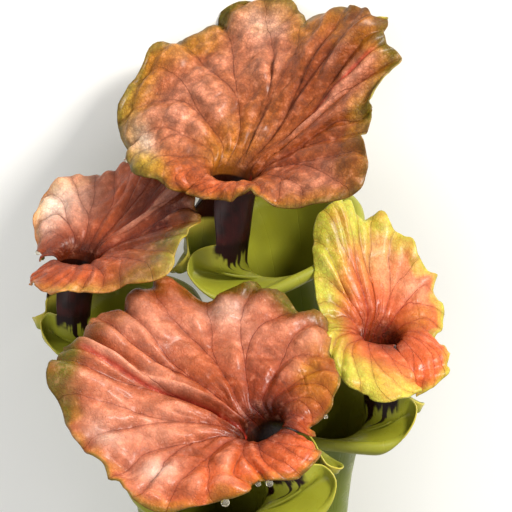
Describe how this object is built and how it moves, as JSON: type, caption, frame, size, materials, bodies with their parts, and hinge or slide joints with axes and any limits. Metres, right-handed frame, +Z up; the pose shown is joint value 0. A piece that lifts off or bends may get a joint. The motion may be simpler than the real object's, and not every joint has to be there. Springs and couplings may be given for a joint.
{
  "type": "copper lid pitcher plant",
  "caption": "Trumpet pitcher plant lifted whole: tall hollow leaves with rolled lips and broad copper-coloured lids, joined by a rhizome with bare roots, lying on its back.",
  "frame": {"origin": "middle of the underside of the lying plant's box, on the surface", "axes": "+Z up from the surface, +Y from the roots along the trumpets towards the lids, +X to the right as the picture shows the plant"},
  "size_m": [0.1894, 0.7028, 0.2192],
  "materials": {
    "pitcher_back_leaf": "satin",
    "pitcher_left_leaf": "satin",
    "pitcher_right_leaf": "satin",
    "pitcher_front_leaf": "satin",
    "rhizome": "rough"
  },
  "bodies": {
    "root": {"pitcher_back": "pitcher_back_leaf", "pitcher_left": "pitcher_left_leaf", "pitcher_right": "pitcher_right_leaf", "pitcher_front": "pitcher_front_leaf", "rhizome_and_roots": "rhizome"}
  },
  "joints": []
}
